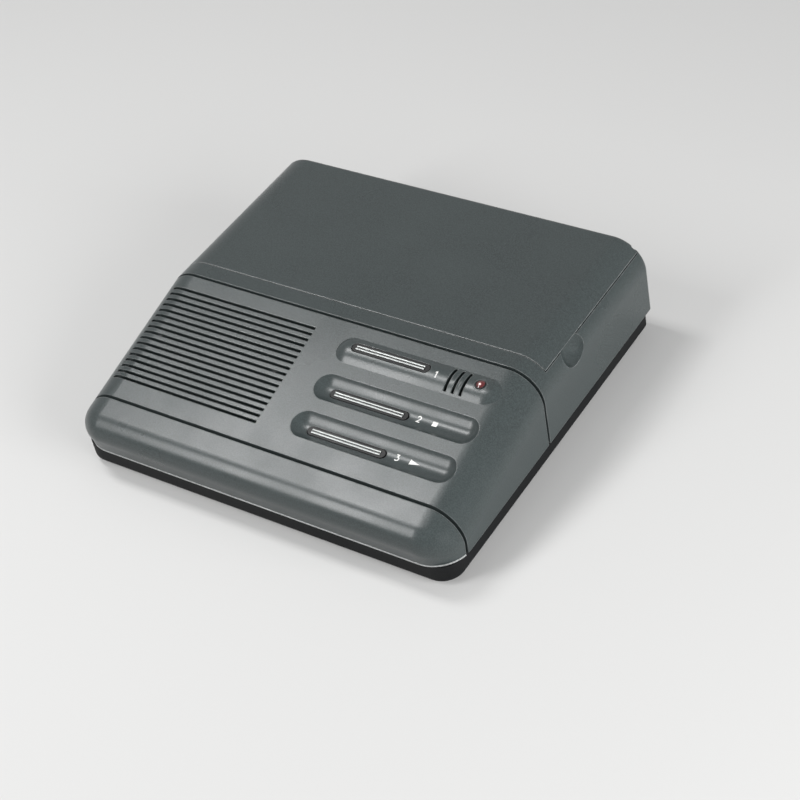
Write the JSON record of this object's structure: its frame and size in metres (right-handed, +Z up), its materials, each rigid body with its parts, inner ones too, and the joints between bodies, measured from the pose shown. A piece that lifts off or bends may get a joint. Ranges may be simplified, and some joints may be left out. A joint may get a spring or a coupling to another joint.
{
  "type": "cassette answering machine",
  "caption": "Low wedge-shaped telephone answering machine with a cassette lid, slotted speaker grille, round-ended key rows, a message lamp and rear sockets.",
  "frame": {"origin": "on the table, under the middle of the machine's outline", "axes": "+Z up, +Y towards the rear wall with the sockets, +X to the user's right"},
  "size_m": [0.176, 0.163, 0.0444],
  "materials": {
    "charcoal_plastic": "fine texture",
    "black_plastic": "fine texture",
    "black_gloss": "smooth",
    "silver_trim": "satin",
    "foot_rubber": "matt",
    "sheet_steel": "zinc plated",
    "screw_steel": "plated",
    "polished_steel": "ground",
    "brass": "turned",
    "board": "lacquered",
    "switch_plastic": "plain",
    "red_lens": "clear tinted",
    "basket_steel": "painted",
    "cone_paper": "pressed paper",
    "ferrite": "ground",
    "transformer_core": "laminated",
    "relay_case": "smooth",
    "can_sleeve": "smooth",
    "battery_case": "printed tin",
    "cassette_case": "smooth",
    "tape": "wound film",
    "white_plastic": "smooth",
    "coil_frame": "plated"
  },
  "bodies": {
    "chassis": {"base_tray": "black_plastic", "rear_housing": "charcoal_plastic", "control_panel": "charcoal_plastic", "front_nose": "charcoal_plastic", "hinge_pins": "polished_steel", "rubber_feet": "foot_rubber", "case_screws": "screw_steel", "small_screws": "screw_steel", "key_board": "board", "tact_switches": "switch_plastic", "message_lamp": "red_lens", "microphone": "silver_trim", "mic_boot": "foot_rubber", "speaker_frame": "basket_steel", "speaker_cone": "cone_paper", "speaker_magnet": "ferrite", "volume_pot": "switch_plastic", "mode_switch": "sheet_steel", "main_board": "board", "jack_board": "board", "line_transformer": "transformer_core", "relay": "relay_case", "capacitors": "can_sleeve", "chips": "switch_plastic", "power_jack": "black_gloss", "line_socket": "black_gloss", "phone_socket": "black_gloss", "battery": "battery_case", "battery_snap": "black_plastic", "cassette_shell": "cassette_case", "deck_plate": "sheet_steel", "capstan_bearing": "brass", "motor": "sheet_steel", "drive_belt": "foot_rubber", "solenoid": "coil_frame", "deck_cover": "black_plastic"},
    "lid": {"cassette_lid": "charcoal_plastic"},
    "announce_key": {"announce_button": "black_gloss", "announce_inlay": "silver_trim"},
    "stop_key": {"stop_button": "black_gloss", "stop_inlay": "silver_trim"},
    "play_key": {"play_button": "black_gloss", "play_inlay": "silver_trim"},
    "volume": {"volume_wheel": "black_plastic"},
    "mode": {"mode_knob": "black_plastic"},
    "capstan": {"capstan_shaft": "polished_steel", "flywheel": "brass"},
    "rotor": {"motor_pulley": "brass"},
    "idler": {"idler_wheel": "foot_rubber"},
    "takeup_reel": {"takeup_spindle": "white_plastic", "takeup_pack": "tape"},
    "supply_reel": {"supply_spindle": "white_plastic", "supply_pack": "tape"},
    "carriage": {"head_carriage": "sheet_steel", "tape_head": "polished_steel", "erase_head": "switch_plastic", "solenoid_plunger": "polished_steel"},
    "roller": {"pinch_roller": "foot_rubber"},
    "door": {"battery_door": "black_plastic"}
  },
  "joints": [
    {"name": "lid_hinge", "type": "hinge", "parent": "chassis", "child": "lid", "pos_m": [0, 0.0784, 0.0414], "axis": [-1, 0, 0], "range_deg": [0, 80]},
    {"name": "announce_press", "type": "slide", "parent": "chassis", "child": "announce_key", "axis": [0, 0.2377, -0.9713], "range_m": [0, 0.0012], "stiffness_N_per_m": 400, "springref_m": -0.0005},
    {"name": "stop_press", "type": "slide", "parent": "chassis", "child": "stop_key", "axis": [0, 0.2377, -0.9713], "range_m": [0, 0.0012], "stiffness_N_per_m": 400, "springref_m": -0.0005},
    {"name": "play_press", "type": "slide", "parent": "chassis", "child": "play_key", "axis": [0, 0.2377, -0.9713], "range_m": [0, 0.0012], "stiffness_N_per_m": 400, "springref_m": -0.0005},
    {"name": "volume_turn", "type": "hinge", "parent": "chassis", "child": "volume", "pos_m": [-0.0802, -0.036, 0.022], "axis": [0, 0, 1], "range_deg": [-135, 135]},
    {"name": "mode_slide", "type": "slide", "parent": "chassis", "child": "mode", "axis": [0, 1, 0], "range_m": [0, 0.005]},
    {"name": "flywheel_spin", "type": "hinge", "parent": "chassis", "child": "capstan", "pos_m": [0.031, 0.0189, 0.0084], "axis": [0, 0, 1], "continuous": true},
    {"name": "motor_spin", "type": "hinge", "parent": "chassis", "child": "rotor", "pos_m": [-0.031, 0.0189, 0.0084], "axis": [0, 0, 1], "continuous": true},
    {"name": "idler_spin", "type": "hinge", "parent": "chassis", "child": "idler", "pos_m": [0.02734, 0.02721, 0.0231], "axis": [0, 0, 1], "continuous": true},
    {"name": "takeup_spin", "type": "hinge", "parent": "chassis", "child": "takeup_reel", "pos_m": [0.02125, 0.041, 0.0231], "axis": [0, 0, 1], "continuous": true},
    {"name": "supply_spin", "type": "hinge", "parent": "chassis", "child": "supply_reel", "pos_m": [-0.02125, 0.041, 0.0231], "axis": [0, 0, 1], "continuous": true},
    {"name": "head_travel", "type": "slide", "parent": "chassis", "child": "carriage", "axis": [0, 1, 0], "range_m": [0, 0.0058], "stiffness_N_per_m": 60, "springref_m": -0.003},
    {"name": "pinch_spin", "type": "hinge", "parent": "carriage", "child": "roller", "pos_m": [0.031, 0.0066, 0.032], "axis": [0, 0, 1], "continuous": true},
    {"name": "battery_door_slide", "type": "slide", "parent": "chassis", "child": "door", "axis": [-1, 0, 0], "range_m": [0, 0.02]}
  ],
  "couplings": [
    {"joint": "motor_spin", "follows": "flywheel_spin", "ratio": 6.2063},
    {"joint": "idler_spin", "follows": "flywheel_spin", "ratio": -0.519},
    {"joint": "takeup_spin", "follows": "flywheel_spin", "ratio": 0.3333},
    {"joint": "supply_spin", "follows": "flywheel_spin", "ratio": 0.2691}
  ]
}
